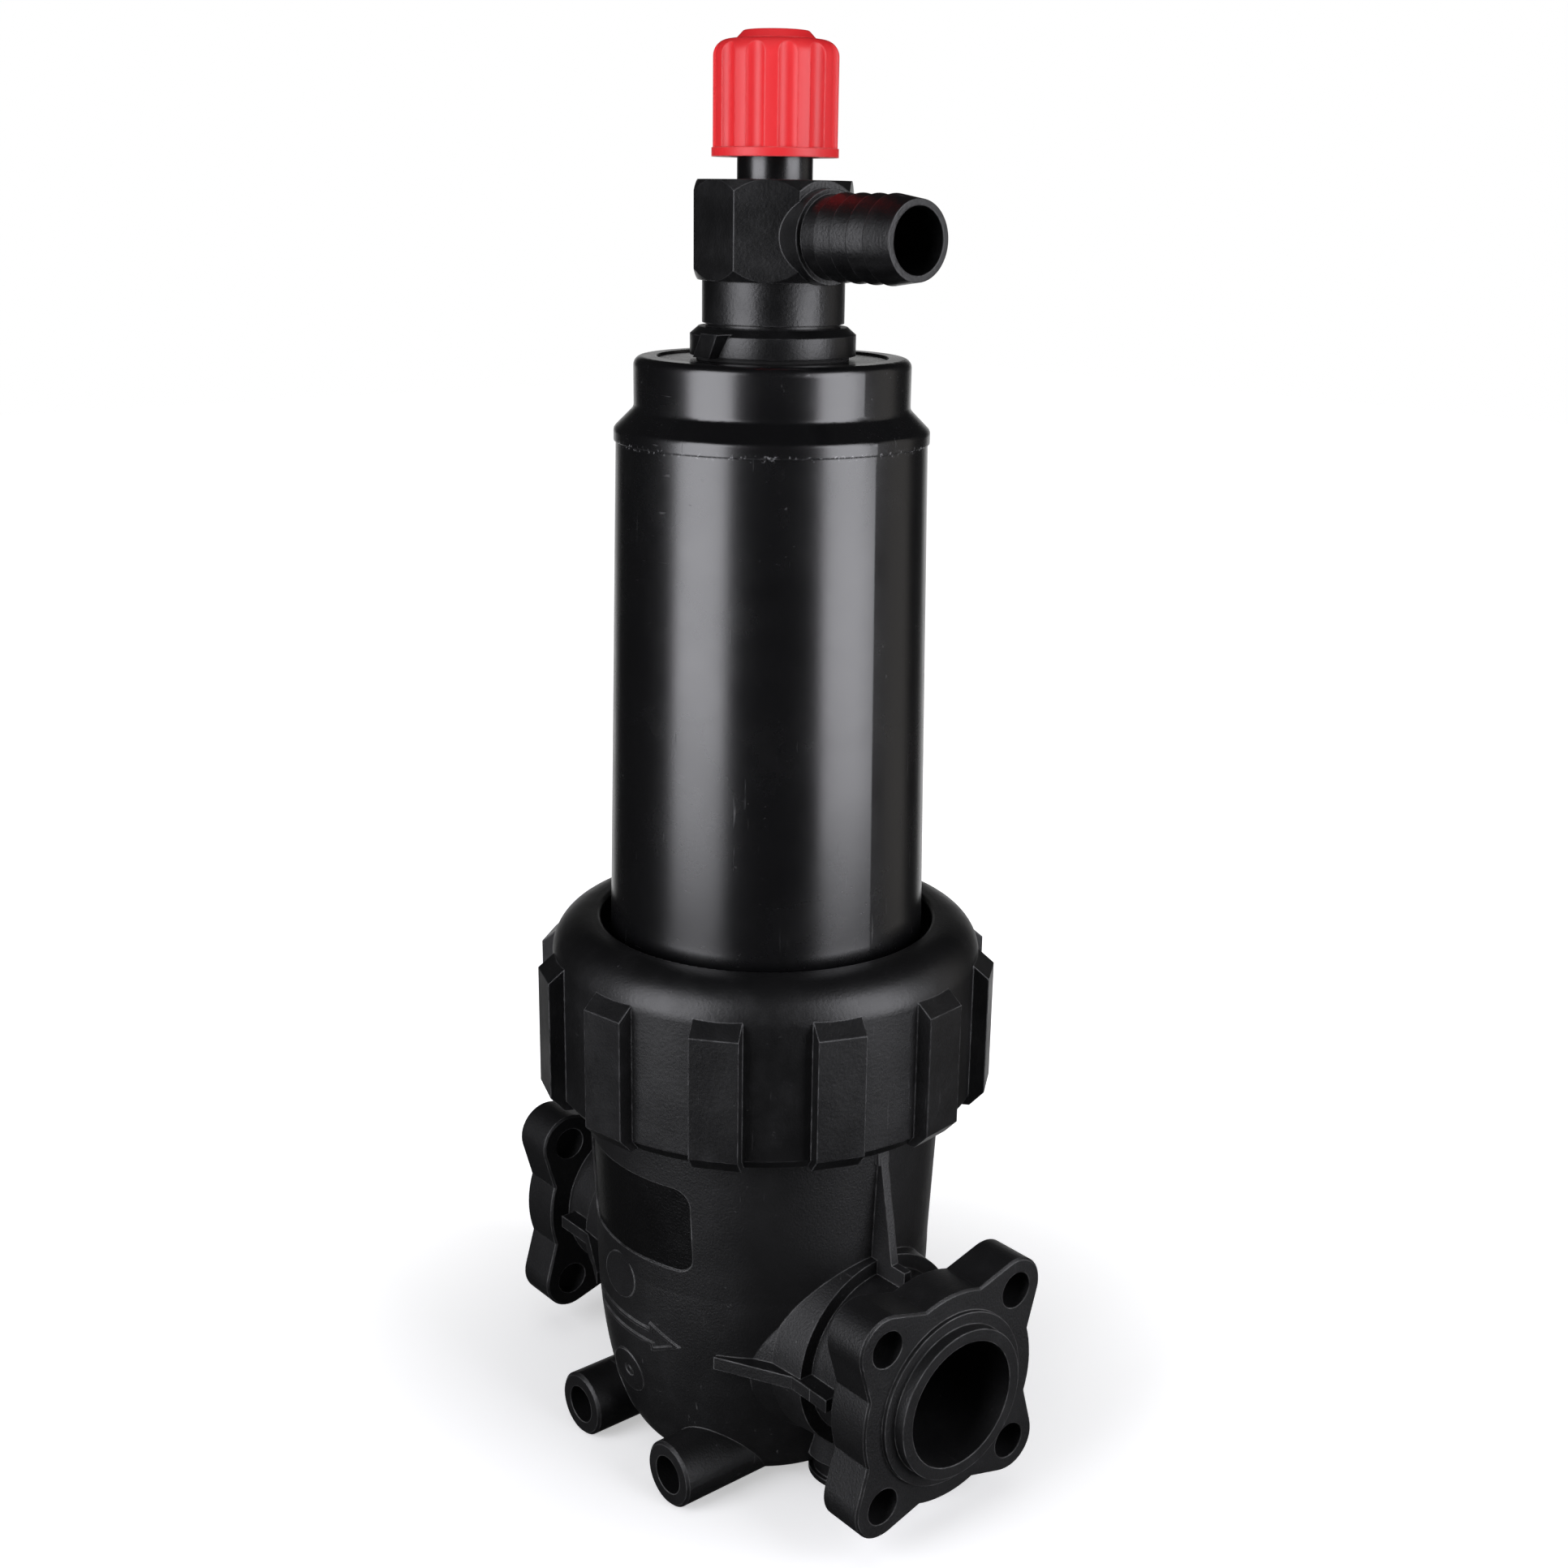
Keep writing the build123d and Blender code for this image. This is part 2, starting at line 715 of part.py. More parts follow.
# Bowl: clamped foot, tapering wall, sloping shoulder and cored collar
with BuildPart() as bowl:
    with BuildSketch(Plane.XZ):
        Polygon(
            (bowl_low_r - bowl_wall, head_rim_z),
            (foot_r, head_rim_z),
            (foot_r, foot_top_z),
            (bowl_low_r, foot_top_z),
            (bowl_high_r, bowl_seam_z),
            (bowl_lip_r, bowl_seam_z),
            (bowl_lip_r, bowl_lip_z),
            (collar_r, collar_foot_z),
            (collar_r, collar_top_z),
            (recess_r, collar_top_z),
            (recess_r, recess_floor_z),
            (socket_r, recess_floor_z),
            (socket_r, socket_floor_z),
            (flush_bore_r, socket_floor_z),
            (flush_bore_r, end_wall_z),
            (inner_spigot_r - inner_spigot_wall, end_wall_z),
            (inner_spigot_r - inner_spigot_wall, inner_spigot_z),
            (inner_spigot_r, inner_spigot_z),
            (inner_spigot_r, collar_core_z),
            (collar_core_r, collar_core_z),
            (collar_core_r, collar_foot_z - core_corner_drop),
            (bowl_high_r - bowl_wall, bowl_lip_z - core_corner_drop),
            (bowl_low_r - bowl_wall, foot_top_z),
            align=None,
        )
    revolve(axis=Axis.Z)
    # Rounds at the collar's rim and foot, the lip and the foot's root
    outer_rounds = (
        (collar_r, collar_top_z, collar_round),
        (collar_r, collar_foot_z, collar_foot_round),
        (bowl_lip_r, bowl_lip_z, bowl_lip_round),
        (bowl_low_r, foot_top_z, foot_fillet),
    )
    for edge_r, edge_z, round_r in outer_rounds:
        circles = bowl.edges().filter_by(GeomType.CIRCLE)
        rings = circles.filter_by(lambda e: abs(e.radius - edge_r) < edge_match)
        fillet(rings.sort_by(lambda e: abs(e.center().Z - edge_z))[0], round_r)
bowl.part.label = "bowl"
export_step(bowl.part, "parts/bowl.step")

# Ring seal in the rim's groove, under the bowl's foot
with BuildPart() as bowl_seal:
    with BuildSketch(Plane.XZ):
        with Locations((seal_seat_r, head_rim_z - seal_groove_depth / 2)):
            Circle(seal_groove_depth / 2 - seal_play)
    revolve(axis=Axis.Z)
bowl_seal.part.label = "bowl_seal"
export_step(bowl_seal.part, "parts/bowl_seal.step")

# Cartridge cage: lower socket, hoops and ribs round the screen, and upper socket
with BuildPart() as cartridge_cage:
    with BuildSketch(Plane.XZ):
        ring_section(standpipe_r + seated_gap, cage_r, cage_bottom_z, head_thread_z)
        ring_section(standpipe_r - standpipe_wall, cage_r, head_thread_z, cage_base_z)
        ring_section(upper_seat_r, cage_r, cage_cap_z, cage_top_z)
        for hoop in range(1, cage_hoop_count + 1):
            hoop_z = cage_base_z + hoop * (cage_cap_z - cage_base_z) / (cage_hoop_count + 1)
            ring_section(cage_inner_r, cage_r, hoop_z - cage_hoop_height / 2, hoop_z + cage_hoop_height / 2)
    revolve(axis=Axis.Z)
    with BuildSketch(Plane.XY.offset(cage_base_z)):
        with PolarLocations((cage_inner_r + cage_r) / 2, cage_rib_count):
            Rectangle(cage_rib_depth - cage_rib_play, cage_rib_width)
        Circle(cage_inner_r, mode=Mode.SUBTRACT)
    extrude(amount=cage_cap_z - cage_base_z)
    # Grooves for the two ring seals
    with BuildSketch(Plane.XZ):
        ring_section(standpipe_r, standpipe_r + groove_depth, lower_groove_z, lower_groove_z + groove_height)
        upper_groove_top_z = upper_groove_z + groove_height
        ring_section(upper_seat_r, upper_seat_r + groove_depth, upper_groove_z, upper_groove_top_z)
    revolve(axis=Axis.Z, mode=Mode.SUBTRACT)
cartridge_cage.part.label = "cartridge_cage"
export_step(cartridge_cage.part, "parts/cartridge_cage.step")

# Screen sleeve: bars and slots behind the cage's windows
with BuildPart() as cartridge_screen:
    with BuildSketch(Plane.XZ):
        ring_section(screen_r - screen_wall, screen_r, cage_base_z + seated_gap, cage_cap_z - seated_gap)
    revolve(axis=Axis.Z)
    row_pitch = (cage_cap_z - cage_base_z) / screen_rows
    for sector in range(cage_rib_count):
        window_plane = Plane.YZ.rotated((0, 0, (sector + 1 / 2) * full_turn / cage_rib_count))
        with BuildSketch(window_plane):
            with Locations((0, (cage_base_z + cage_cap_z) / 2)):
                with GridLocations(1, row_pitch, 1, screen_rows):
                    Rectangle(screen_slot_width, screen_slot_height)
        extrude(amount=cage_r, mode=Mode.SUBTRACT)
cartridge_screen.part.label = "cartridge_screen"
export_step(cartridge_screen.part, "parts/cartridge_screen.step")

# Ring seals at the cartridge's two ends
seal_seats = (
    ("cartridge_lower_seal", standpipe_r, lower_groove_z),
    ("cartridge_upper_seal", upper_seat_r, upper_groove_z),
)
for seal_name, seat_r, groove_z in seal_seats:
    with BuildPart() as cartridge_seal:
        with BuildSketch(Plane.XZ):
            with Locations((seat_r + groove_depth / 2, groove_z + groove_height / 2)):
                Circle(groove_depth / 2 - seal_play)
        revolve(axis=Axis.Z)
    cartridge_seal.part.label = seal_name
    export_step(cartridge_seal.part, f"parts/{seal_name}.step")

# Flat gasket in the collar's recess
with BuildPart() as valve_gasket:
    with BuildSketch(Plane.XY.offset(recess_floor_z)):
        Circle(gasket_r)
        Circle(valve_stub_r + seated_gap, mode=Mode.SUBTRACT)
    extrude(amount=gasket_thickness)
valve_gasket.part.label = "valve_gasket"
export_step(valve_gasket.part, "parts/valve_gasket.step")

# Lock ring with a cone edge and one leaning key lug
with BuildPart() as valve_lock_ring:
    with BuildSketch(Plane.XZ):
        Polygon(
            (valve_stub_r + seated_gap, lock_ring_z),
            (lock_ring_r, lock_ring_z),
            (lock_ring_r, lock_cone_z),
            (lock_cone_r, lock_top_z),
            (valve_stub_r + seated_gap, lock_top_z),
            align=None,
        )
    revolve(axis=Axis.Z)
    with BuildSketch(Plane.XZ.offset(lock_ring_r - lug_sink)):
        Polygon(
            (lug_left_x, lock_ring_z),
            (lug_left_x + lug_width, lock_ring_z),
            (lug_left_x + lug_width + lug_lean, lock_ring_z + lug_height),
            (lug_left_x + lug_lean, lock_ring_z + lug_height),
            align=None,
        )
    extrude(amount=lug_reach - lock_ring_r + lug_sink)
valve_lock_ring.part.label = "valve_lock_ring"
export_step(valve_lock_ring.part, "parts/valve_lock_ring.step")

# Valve body: threaded stub, neck, octagon with coned corners, barbed hose tail and its passages
with BuildPart() as valve_body:
    with BuildSketch(Plane.XY.offset(octagon_low_z)):
        RegularPolygon(
            octagon_across / 2,
            side_count=octagon_sides,
            major_radius=False,
            rotation=full_turn / octagon_sides / 2,
        )
    extrude(amount=octagon_high_z - octagon_low_z)
    # Cones that take the corners off above and below
    with BuildSketch(Plane.XZ):
        Polygon(
            (0, octagon_low_z),
            (octagon_across / 2, octagon_low_z),
            (octagon_corner_r, octagon_low_z + octagon_cone_height),
            (octagon_corner_r, octagon_high_z - octagon_cone_height),
            (octagon_across / 2, octagon_high_z),
            (0, octagon_high_z),
            align=None,
        )
    revolve(axis=Axis.Z, mode=Mode.INTERSECT)
    with BuildSketch(Plane.XZ):
        ring_section(0, valve_stub_r, valve_stub_z, lock_top_z)
        ring_section(0, valve_groove_r, lock_top_z, valve_neck_z)
        ring_section(0, valve_neck_r, valve_neck_z, octagon_low_z)
    revolve(axis=Axis.Z)
    # Hose tail, revolved about its own level axis
    with BuildSketch(Plane.XZ):
        with BuildLine():
            tail_points = [(0, tail_z), (0, tail_z + tail_boss_r), (tail_boss_x, tail_z + tail_boss_r)]
            tail_points.append((tail_boss_x, tail_z + tail_root_r))
            for barb in range(barb_count):
                barb_x = barb_start_x + barb * barb_pitch
                tail_points.append((barb_x, tail_z + barb_trough_r))
                tail_points.append((barb_x + barb_rise, tail_z + barb_crest_r))
            tail_points.append((tail_end_x, tail_z + tail_tip_r))
            tail_points.append((tail_end_x, tail_z))
            Polyline(*tail_points, close=True)
        make_face()
    revolve(axis=Axis(origin=(0, 0, tail_z), direction=(1, 0, 0)))
    # Passages: up from the bowl, the shutter's chamber and out through the tail
    with BuildSketch(Plane.XZ):
        ring_section(0, flush_bore_r, valve_stub_z, seat_z)
        ring_section(0, chamber_r, seat_z, octagon_high_z)
    revolve(axis=Axis.Z, mode=Mode.SUBTRACT)
    with BuildSketch(Plane(origin=(0, 0, tail_z), x_dir=(0, 1, 0), z_dir=(1, 0, 0))):
        Circle(tail_bore_r)
    extrude(amount=tail_end_x, mode=Mode.SUBTRACT)
valve_body.part.label = "valve_body"
export_step(valve_body.part, "parts/valve_body.step")

# Ring seal under the bonnet's plug
with BuildPart() as bonnet_seal:
    with BuildSketch(Plane.XY.offset(bonnet_plug_z)):
        Circle(bonnet_plug_r)
        Circle(bonnet_plug_r - bonnet_seal_width, mode=Mode.SUBTRACT)
    extrude(amount=bonnet_seal_height)
bonnet_seal.part.label = "bonnet_seal"
export_step(bonnet_seal.part, "parts/bonnet_seal.step")

# Bonnet: plug in the octagon, gland for the spindle seal and threaded sleeve
with BuildPart() as valve_bonnet:
    with BuildSketch(Plane.XZ):
        Polygon(
            (spindle_r + running_gap, bonnet_plug_z),
            (bonnet_plug_r - bonnet_seal_width, bonnet_plug_z),
            (bonnet_plug_r - bonnet_seal_width, bonnet_plug_z + bonnet_seal_height),
            (bonnet_plug_r, bonnet_plug_z + bonnet_seal_height),
            (bonnet_plug_r, octagon_high_z),
            (bonnet_r, octagon_high_z),
            (bonnet_r, bonnet_top_z - bonnet_edge),
            (bonnet_r - bonnet_edge, bonnet_top_z),
            (spindle_thread_r + running_gap, bonnet_top_z),
            (spindle_thread_r + running_gap, bonnet_thread_z),
            (spindle_r + running_gap, bonnet_thread_z),
            align=None,
        )
        with Locations((spindle_r, gland_low_z)):
            Rectangle(gland_r - spindle_r, gland_height, align=(Align.MIN, Align.MIN), mode=Mode.SUBTRACT)
    revolve(axis=Axis.Z)
valve_bonnet.part.label = "valve_bonnet"
export_step(valve_bonnet.part, "parts/valve_bonnet.step")

# Ring seal round the spindle in the bonnet's gland
with BuildPart() as spindle_seal:
    with BuildSketch(Plane.XZ):
        with Locations(((spindle_r + running_gap + gland_r) / 2, gland_low_z + gland_height / 2)):
            Circle((gland_r - spindle_r - running_gap) / 2 - seal_play)
    revolve(axis=Axis.Z)
spindle_seal.part.label = "spindle_seal"
export_step(spindle_seal.part, "parts/spindle_seal.step")

# Shutter: disc and hub with a pocket that traps the spindle's button, and a facing ring below
with BuildPart() as valve_plunger:
    with BuildSketch(Plane.XZ):
        ring_section(0, shutter_r, seat_z + shutter_facing, seat_z + shutter_facing + shutter_disc)
        ring_section(0, shutter_hub_r, seat_z + shutter_facing, shutter_hub_z)
        ring_section(0, facing_hole_r - seated_gap, seat_z, seat_z + shutter_facing)
    revolve(axis=Axis.Z)
    with BuildSketch(Plane.XZ):
        pocket_top_z = shutter_pocket_z + shutter_pocket_height
        ring_section(0, spindle_button_r + free_gap, shutter_pocket_z, pocket_top_z)
        ring_section(0, spindle_r + free_gap, shutter_pocket_z, shutter_hub_z)
    revolve(axis=Axis.Z, mode=Mode.SUBTRACT)
valve_plunger.part.label = "valve_plunger"
export_step(valve_plunger.part, "parts/valve_plunger.step")

with BuildPart() as plunger_seal:
    with BuildSketch(Plane.XY.offset(seat_z)):
        Circle(shutter_r - seated_gap)
        Circle(facing_hole_r, mode=Mode.SUBTRACT)
    extrude(amount=shutter_facing)
plunger_seal.part.label = "plunger_seal"
export_step(plunger_seal.part, "parts/plunger_seal.step")

# Spindle: button, plain shank, threaded length and square drive for the knob
with BuildPart() as spindle:
    with BuildSketch(Plane.XZ):
        ring_section(0, spindle_button_r, spindle_button_z, spindle_button_z + spindle_button_height)
        ring_section(0, spindle_r, spindle_button_z, spindle_top_z - screw_length)
        ring_section(0, spindle_thread_r, spindle_thread_low_z, spindle_thread_high_z)
    revolve(axis=Axis.Z)
    with BuildSketch(Plane.XY.offset(spindle_thread_high_z)):
        Rectangle(spindle_square, spindle_square)
    extrude(amount=spindle_top_z - spindle_thread_high_z)
    with BuildSketch(Plane.XY.offset(spindle_top_z - screw_length)):
        Circle(screw_r)
    extrude(amount=screw_length, mode=Mode.SUBTRACT)
spindle.part.label = "spindle"
export_step(spindle.part, "parts/spindle.step")

# Knob: round ring at the foot, twelve concave flutes, round shoulder, hub and cap pocket
with BuildPart() as knob:
    with BuildSketch(Plane.XZ) as knob_section:
        Polygon(
            (knob_cavity_r, knob_bottom_z),
            (knob_ring_r, knob_bottom_z),
            (knob_ring_r, knob_bottom_z + knob_ring_height),
            (knob_r, knob_bottom_z + knob_ring_height),
            (knob_r, knob_shoulder_z),
            (knob_pocket_r, knob_shoulder_z),
            (knob_pocket_r, knob_pocket_z),
            (0, knob_pocket_z),
            (0, knob_cavity_z),
            (knob_cavity_r, knob_cavity_z),
            align=None,
        )
        fillet(knob_section.vertices().group_by(Axis.Y)[-1].sort_by(Axis.X)[-1], knob_shoulder_round)
    revolve(axis=Axis.Z)
    with BuildSketch(Plane.XY.offset(knob_bottom_z + knob_ring_height)):
        flute_axis_r = knob_r - knob_flute_depth + knob_flute_r
        with PolarLocations(flute_axis_r, knob_flutes, start_angle=knob_flute_angle):
            Circle(knob_flute_r)
    extrude(amount=knob_shoulder_z - knob_bottom_z, mode=Mode.SUBTRACT)
    with BuildSketch(Plane.XY.offset(knob_cavity_z)):
        Rectangle(spindle_square + 2 * seated_gap, spindle_square + 2 * seated_gap)
    extrude(amount=knob_pocket_z - knob_cavity_z, mode=Mode.SUBTRACT)
knob.part.label = "knob"
export_step(knob.part, "parts/knob.step")

# Screw that holds the knob on the spindle's square
with BuildPart() as knob_screw:
    with BuildSketch(Plane.XY.offset(knob_pocket_z)):
        Circle(screw_head_r)
    extrude(amount=screw_head_height)
    fillet(knob_screw.edges().group_by(Axis.Z)[-1], screw_head_round)
    with BuildSketch(Plane.XY.offset(knob_pocket_z)):
        Circle(screw_r - seated_gap)
    extrude(amount=-(screw_length - screw_end_play))
    with BuildSketch(Plane.XY.offset(knob_pocket_z + screw_head_height)):
        Rectangle(2 * screw_head_r, screw_slot)
    extrude(amount=-screw_slot, mode=Mode.SUBTRACT)
knob_screw.part.label = "knob_screw"
export_step(knob_screw.part, "parts/knob_screw.step")

# Cap: raised cone on top of the knob with a skirt that snaps into the pocket
with BuildPart() as knob_cap:
    with BuildSketch(Plane.XZ) as cap_section:
        Polygon(
            (0, knob_shoulder_z),
            (cap_base_r, knob_shoulder_z),
            (cap_top_r, knob_shoulder_z + cap_height),
            (0, knob_shoulder_z + cap_height),
            align=None,
        )
        fillet(cap_section.vertices().group_by(Axis.Y)[-1].sort_by(Axis.X)[-1], cap_round)
        skirt_r = knob_pocket_r - seated_gap
        ring_section(skirt_r - cap_plug_wall, skirt_r, knob_shoulder_z - cap_plug_depth, knob_shoulder_z)
    revolve(axis=Axis.Z)
knob_cap.part.label = "knob_cap"
export_step(knob_cap.part, "parts/knob_cap.step")
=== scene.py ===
import math

import bpy
from mathutils import Matrix, Vector

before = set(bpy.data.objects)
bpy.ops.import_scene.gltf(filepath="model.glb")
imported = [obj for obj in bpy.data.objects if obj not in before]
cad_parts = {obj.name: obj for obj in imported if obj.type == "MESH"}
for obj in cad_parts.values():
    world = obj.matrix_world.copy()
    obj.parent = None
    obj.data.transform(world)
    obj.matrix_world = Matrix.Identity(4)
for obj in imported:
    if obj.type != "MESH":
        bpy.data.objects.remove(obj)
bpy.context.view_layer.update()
scene = bpy.context.scene
scene.view_settings.view_transform = "Standard"

# Camera at the photograph's viewing angle
CAMERA_PLACE = (0.43142, -0.35260, 0.37355)
CAMERA_AZIMUTH = math.radians(50.2508)
CAMERA_PITCH = math.radians(16.5240)
CAMERA_ROLL = math.radians(0.8144)
CAMERA_LENS = 45.602
CAMERA_SENSOR = 36.0
CAMERA_NEAR = 0.01

camera_data = bpy.data.cameras.new("camera")
camera_data.sensor_width = CAMERA_SENSOR
camera_data.lens = CAMERA_LENS
camera_data.clip_start = CAMERA_NEAR
camera = bpy.data.objects.new("camera", camera_data)
camera.matrix_world = (
    Matrix.Translation(CAMERA_PLACE)
    @ Matrix.Rotation(CAMERA_AZIMUTH, 4, "Z")
    @ Matrix.Rotation(math.pi / 2 - CAMERA_PITCH, 4, "X")
    @ Matrix.Rotation(CAMERA_ROLL, 4, "Z")
)
scene.collection.objects.link(camera)
scene.camera = camera


class Nodes:
    """Short calls that add nodes to one tree and link them."""

    def __init__(self, tree):
        self.tree = tree
        tree.nodes.clear()

    def add(self, kind, **settings):
        node = self.tree.nodes.new(kind)
        for name, value in settings.items():
            setattr(node, name, value)
        return node

    def put(self, socket, value):
        if isinstance(value, bpy.types.NodeSocket):
            self.tree.links.new(value, socket)
        else:
            socket.default_value = value

    def math(self, operation, a, b=0.0, clamp=False):
        node = self.add("ShaderNodeMath", operation=operation, use_clamp=clamp)
        self.put(node.inputs[0], a)
        self.put(node.inputs[1], b)
        return node.outputs[0]

    def noise(self, vector, scale, detail=3.0, roughness=0.55):
        node = self.add("ShaderNodeTexNoise")
        self.put(node.inputs["Vector"], vector)
        node.inputs["Scale"].default_value = scale
        node.inputs["Detail"].default_value = detail
        node.inputs["Roughness"].default_value = roughness
        return node.outputs["Fac"]

    def step(self, value, low, high, out_low=0.0, out_high=1.0):
        node = self.add("ShaderNodeMapRange", interpolation_type="SMOOTHSTEP")
        self.put(node.inputs["Value"], value)
        node.inputs["From Min"].default_value = low
        node.inputs["From Max"].default_value = high
        node.inputs["To Min"].default_value = out_low
        node.inputs["To Max"].default_value = out_high
        return node.outputs["Result"]

    def stretch(self, vector, scale, rotation=(0.0, 0.0, 0.0)):
        node = self.add("ShaderNodeMapping")
        self.put(node.inputs["Vector"], vector)
        node.inputs["Scale"].default_value = scale
        node.inputs["Rotation"].default_value = rotation
        return node.outputs["Vector"]

    def mix(self, factor, a, b):
        node = self.add("ShaderNodeMix", data_type="RGBA")
        self.put(node.inputs[0], factor)
        self.put(node.inputs[6], a)
        self.put(node.inputs[7], b)
        return node.outputs[2]


def rgba(color):
    return (color[0], color[1], color[2], 1.0)


# Moulded plastic: bands are the low and high end of a smooth step
SCRATCH_FIELDS = (
    ((900.0, 900.0, 40.0), (0.35, 0.2, 0.0), (0.70, 0.76)),
    ((50.0, 700.0, 800.0), (0.1, 0.3, 0.7), (0.71, 0.77)),
)
SCRATCHED_BAND = (0.45, 0.65)
SCRATCH_DEPTH = 0.00002
SCRATCH_ROUGHNESS = 0.15
MOTTLE_PER_CLOUD = 5.0
HAZE_CLOUD_BAND = (0.46, 0.74)
HAZE_MOTTLE_BAND = (0.35, 0.75)
ROUGH_CLOUD_BAND = (0.30, 0.72)
EDGE_SAMPLES = 6
EDGE_BEND_BAND = (0.99, 0.86)
EDGE_MOTTLE_BAND = (0.38, 0.66)
EDGE_LEAST_WEAR_AND_HIGHLIGHT = 0.25
GLOSS_EDGE_OUT = 0.0001
GLOSS_EDGE_IN = -0.0002
GLOSS_FRONT_BAND = (-0.04, -0.045)
GLOSS_ROUGHNESS_DROP = 0.20
GLOSS_DARKENING = 0.6
SEAM_BAND = (0.0012, 0.0002)
SEAM_SPECK_SCALE = 900.0
SEAM_SPECK_BAND = (0.55, 0.72)


def moulded(
    name,
    color,
    roughness=0.42,
    spread=0.10,
    haze=0.10,
    haze_size=0.030,
    haze_color=(0.16, 0.16, 0.165),
    grain=0.00006,
    grain_size=0.0009,
    ripple=0.0,
    ripple_size=0.008,
    scratches=0.25,
    edge=0.35,
    edge_color=(0.20, 0.20, 0.205),
    edge_radius=0.0006,
    specular=0.6,
    gloss_area=None,
    seam=None,
):
    """Moulded plastic: mottled sheen, fine grain, light scuffs, scratches, and paler edges that are
    partly wear and partly a painted highlight.
    """
    material = bpy.data.materials.new(name)
    material.use_nodes = True
    n = Nodes(material.node_tree)
    place = n.add("ShaderNodeTexCoord").outputs["Object"]
    cloud = n.noise(place, 1.0 / haze_size, detail=6.0, roughness=0.62)
    mottle = n.noise(place, MOTTLE_PER_CLOUD / haze_size, detail=4.0, roughness=0.6)
    fine = n.noise(place, 1.0 / grain_size, detail=2.0)
    streaks = [
        n.step(n.noise(n.stretch(place, scale, turn), 1.0, detail=2.0), *band)
        for scale, turn, band in SCRATCH_FIELDS
    ]
    scratch = n.math("MULTIPLY", n.math("MAXIMUM", *streaks), n.step(cloud, *SCRATCHED_BAND))
    patch = n.math("MULTIPLY", n.step(cloud, *HAZE_CLOUD_BAND), n.step(mottle, *HAZE_MOTTLE_BAND))

    # Paler edges, partly wear and partly a painted edge highlight: where a rounded normal leaves the
    # flat one
    soft_normal = n.add("ShaderNodeBevel", samples=EDGE_SAMPLES)
    soft_normal.inputs["Radius"].default_value = edge_radius
    flat_normal = n.add("ShaderNodeNewGeometry").outputs["Normal"]
    dot = n.add("ShaderNodeVectorMath", operation="DOT_PRODUCT")
    n.put(dot.inputs[0], soft_normal.outputs["Normal"])
    n.put(dot.inputs[1], flat_normal)
    bend = n.step(dot.outputs["Value"], *EDGE_BEND_BAND)
    worn_and_highlit_edge = n.math("MULTIPLY", bend, n.step(mottle, *EDGE_MOTTLE_BAND, EDGE_LEAST_WEAR_AND_HIGHLIGHT, 1.0))

    tint = n.mix(n.math("MULTIPLY", patch, haze), rgba(color), rgba(haze_color))
    tint = n.mix(n.math("MULTIPLY", scratch, scratches), tint, rgba(edge_color))
    # Painted edge highlight together with real wear: the edge mask mixes in the paler edge colour
    tint = n.mix(n.math("MULTIPLY", worn_and_highlit_edge, edge), tint, rgba(edge_color))
    half_spread = spread / 2
    rough = n.step(cloud, *ROUGH_CLOUD_BAND, roughness - half_spread, roughness + half_spread)
    rough = n.math("ADD", rough, n.math("MULTIPLY", mottle, half_spread))
    rough = n.math("ADD", rough, n.math("MULTIPLY", scratch, SCRATCH_ROUGHNESS), clamp=True)
    if gloss_area or seam:
        split = n.add("ShaderNodeSeparateXYZ")
        n.put(split.inputs[0], place)
    if gloss_area:
        half_width, low, high, corner = gloss_area
        inner_x = n.math("SUBTRACT", n.math("ABSOLUTE", split.outputs["X"]), half_width - corner)
        from_middle = n.math("ABSOLUTE", n.math("SUBTRACT", split.outputs["Z"], (low + high) / 2))
        inner_z = n.math("SUBTRACT", from_middle, (high - low) / 2 - corner)
        across = n.math("POWER", n.math("MAXIMUM", inner_x, 0.0), 2.0)
        upward = n.math("POWER", n.math("MAXIMUM", inner_z, 0.0), 2.0)
        reach = n.math("SQRT", n.math("ADD", across, upward))
        inside = n.step(reach, corner + GLOSS_EDGE_OUT, corner + GLOSS_EDGE_IN)
        inside = n.math("MULTIPLY", inside, n.step(split.outputs["Y"], *GLOSS_FRONT_BAND))
        drop = n.math("MULTIPLY", inside, GLOSS_ROUGHNESS_DROP)
        rough = n.math("SUBTRACT", rough, drop, clamp=True)
        tint = n.mix(inside, tint, rgba(tuple(GLOSS_DARKENING * c for c in color)))
    if seam:
        from_seam = n.math("ABSOLUTE", n.math("SUBTRACT", split.outputs["Z"], seam))
        near = n.step(from_seam, *SEAM_BAND)
        speck = n.step(n.noise(place, SEAM_SPECK_SCALE), *SEAM_SPECK_BAND)
        tint = n.mix(n.math("MULTIPLY", near, speck), tint, rgba(edge_color))

    height = n.math("MULTIPLY", fine, grain)
    if ripple:
        wave = n.noise(place, 1.0 / ripple_size, detail=2.0)
        height = n.math("ADD", height, n.math("MULTIPLY", wave, ripple))
    height = n.math("SUBTRACT", height, n.math("MULTIPLY", scratch, SCRATCH_DEPTH))
    bump = n.add("ShaderNodeBump")
    bump.inputs["Strength"].default_value = 1.0
    bump.inputs["Distance"].default_value = 1.0
    n.put(bump.inputs["Height"], height)
    n.put(bump.inputs["Normal"], soft_normal.outputs["Normal"])

    shader = n.add("ShaderNodeBsdfPrincipled")
    n.put(shader.inputs["Base Color"], tint)
    n.put(shader.inputs["Roughness"], rough)
    n.put(shader.inputs["Normal"], bump.outputs["Normal"])
    shader.inputs["Specular IOR Level"].default_value = specular
    output = n.add("ShaderNodeOutputMaterial")
    n.put(output.inputs["Surface"], shader.outputs["BSDF"])
    return material


BLACK = (0.0026, 0.0026, 0.0029)
GREY = (0.040, 0.040, 0.042)

# The head's sunk panel: half width, low and high level, corner radius
PANEL_AREA = (0.0245, 0.0743, 0.1013, 0.005)
BOWL_SEAM_LEVEL = 0.3082

